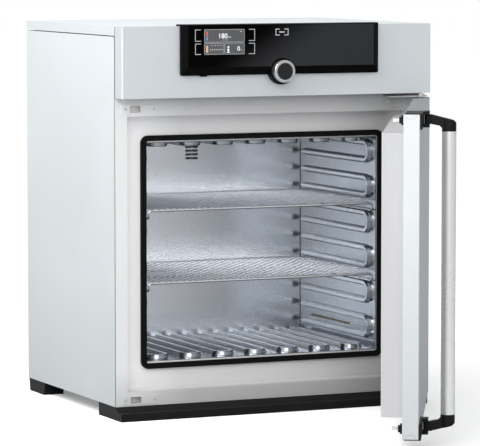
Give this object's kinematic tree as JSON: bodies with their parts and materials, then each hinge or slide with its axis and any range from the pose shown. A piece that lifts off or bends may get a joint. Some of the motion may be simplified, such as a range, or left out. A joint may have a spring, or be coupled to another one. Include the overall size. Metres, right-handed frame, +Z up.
{
  "type": "natural convection drying oven",
  "caption": "Bench drying oven with a hinged insulated door, hairpin-ribbed steel chamber, wire shelves, black control panel with a turning knob, bar handle with lock claws and rear exhaust.",
  "frame": {"origin": "on the floor under the front plinth, midway across the cabinet, in the plane of the front frame's face", "axes": "+X to the right seen from the front, +Y from the front frame to the back, +Z up; the door stands open towards -Y"},
  "size_m": [0.7542, 1.2413, 0.861],
  "materials": {
    "textured_steel": "textured stainless steel",
    "front_steel": "smooth stainless steel",
    "door_steel": "textured stainless steel",
    "rear_steel": "galvanised sheet",
    "chamber_steel": "bright stainless steel",
    "shelf_wire": "electropolished wire",
    "gasket": "matt",
    "heater": "silicone mat",
    "mineral_wool": "mineral wool",
    "exhaust_steel": "satin",
    "motor_plastic": "matt",
    "black_plastic": "fine grain",
    "panel_black": "satin",
    "panel_glass": "gloss",
    "screen": "lit display",
    "board": "circuit board",
    "knob_silver": "satin",
    "knob_black": "satin",
    "bar_aluminium": "satin anodised",
    "plain_steel": "polished",
    "screw_steel": "plain",
    "bush": "plain"
  },
  "bodies": {
    "cabinet": {"left_side_panel": "textured_steel", "right_side_panel": "textured_steel", "lid": "textured_steel", "hood": "textured_steel", "front_frame": "front_steel", "strike_plate_top": "front_steel", "strike_plate_bottom": "front_steel", "upper_hinge_bracket": "front_steel", "lower_hinge_bracket": "front_steel", "rear_panel": "rear_steel", "base_plate": "rear_steel", "chamber_left_wall": "chamber_steel", "chamber_right_wall": "chamber_steel", "chamber_floor": "chamber_steel", "chamber_ceiling": "chamber_steel", "chamber_back_wall": "chamber_steel", "chamber_gasket": "gasket", "heater_mats": "heater", "insulation": "mineral_wool", "exhaust_pipe": "exhaust_steel", "flap_motor": "motor_plastic", "encoder": "motor_plastic", "front_foot_left": "black_plastic", "front_foot_right": "black_plastic", "front_plinth": "black_plastic", "rear_feet": "black_plastic", "mains_inlet": "black_plastic", "panel_bezel": "panel_black", "panel_glass": "panel_glass", "display_screen": "screen", "display_board": "board", "hinge_pins": "plain_steel", "inlet_pins": "plain_steel", "rear_screws": "screw_steel", "strike_screws": "screw_steel", "recess_screws": "screw_steel", "hinge_screws": "screw_steel"},
    "exhaust_flap": {"exhaust_flap": "exhaust_steel"},
    "knob": {"knob_ring": "knob_silver", "knob_shaft": "plain_steel"},
    "knob_cap": {"knob_cap": "knob_black"},
    "main_switch": {"main_switch": "panel_black"},
    "upper_shelf": {"upper_shelf_grid": "shelf_wire", "upper_shelf_rails": "shelf_wire"},
    "lower_shelf": {"lower_shelf_grid": "shelf_wire", "lower_shelf_rails": "shelf_wire"},
    "door": {"door_shell": "door_steel", "door_inner_panel": "front_steel", "door_insulation": "mineral_wool", "hinge_bushes": "bush", "latch_guide_top": "black_plastic", "latch_guide_bottom": "black_plastic", "claw_pivots": "plain_steel", "handle_fitting_top": "black_plastic", "handle_fitting_bottom": "black_plastic", "handle_pins": "plain_steel"},
    "handle": {"handle_arms": "black_plastic", "handle_bar": "bar_aluminium"},
    "latch_claw_top": {"latch_claw_top": "plain_steel"},
    "latch_claw_bottom": {"latch_claw_bottom": "plain_steel"}
  },
  "joints": [
    {"name": "door_hinge", "type": "hinge", "parent": "cabinet", "child": "door", "pos_m": [0.358, -0.0215, 0.359], "axis": [0, 0, 1], "range_deg": [-61.2, 48.8]},
    {"name": "handle_swing", "type": "hinge", "parent": "door", "child": "handle", "pos_m": [0.07789, -0.59557, 0.3599], "axis": [0, 0, 1], "range_deg": [0, 25]},
    {"name": "claw_top_turn", "type": "hinge", "parent": "door", "child": "latch_claw_top", "pos_m": [0.02892, -0.62113, 0.6775], "axis": [0, 0, -1], "range_deg": [0, 12.5]},
    {"name": "claw_bottom_turn", "type": "hinge", "parent": "door", "child": "latch_claw_bottom", "pos_m": [0.02892, -0.62113, 0.0423], "axis": [0, 0, -1], "range_deg": [0, 12.5]},
    {"name": "knob_turn", "type": "hinge", "parent": "cabinet", "child": "knob", "pos_m": [0, -0.065, 0.7568], "axis": [0, -1, 0], "continuous": true},
    {"name": "knob_push", "type": "slide", "parent": "knob", "child": "knob_cap", "axis": [0, 1, 0], "range_m": [0, 0.0015], "stiffness_N_per_m": 600},
    {"name": "switch_push", "type": "slide", "parent": "cabinet", "child": "main_switch", "axis": [0, 0, 1], "range_m": [0, 0.0015], "stiffness_N_per_m": 600},
    {"name": "flap_turn", "type": "hinge", "parent": "cabinet", "child": "exhaust_flap", "pos_m": [0, 0.52365, 0.555], "axis": [0, 0, 1], "range_deg": [0, 90]},
    {"name": "upper_shelf_slide", "type": "slide", "parent": "cabinet", "child": "upper_shelf", "axis": [0, -1, 0], "range_m": [0, 0.08]},
    {"name": "lower_shelf_slide", "type": "slide", "parent": "cabinet", "child": "lower_shelf", "axis": [0, -1, 0], "range_m": [0, 0.08]}
  ],
  "couplings": [
    {"joint": "claw_top_turn", "follows": "handle_swing", "ratio": 0.5},
    {"joint": "claw_bottom_turn", "follows": "handle_swing", "ratio": 0.5}
  ]
}
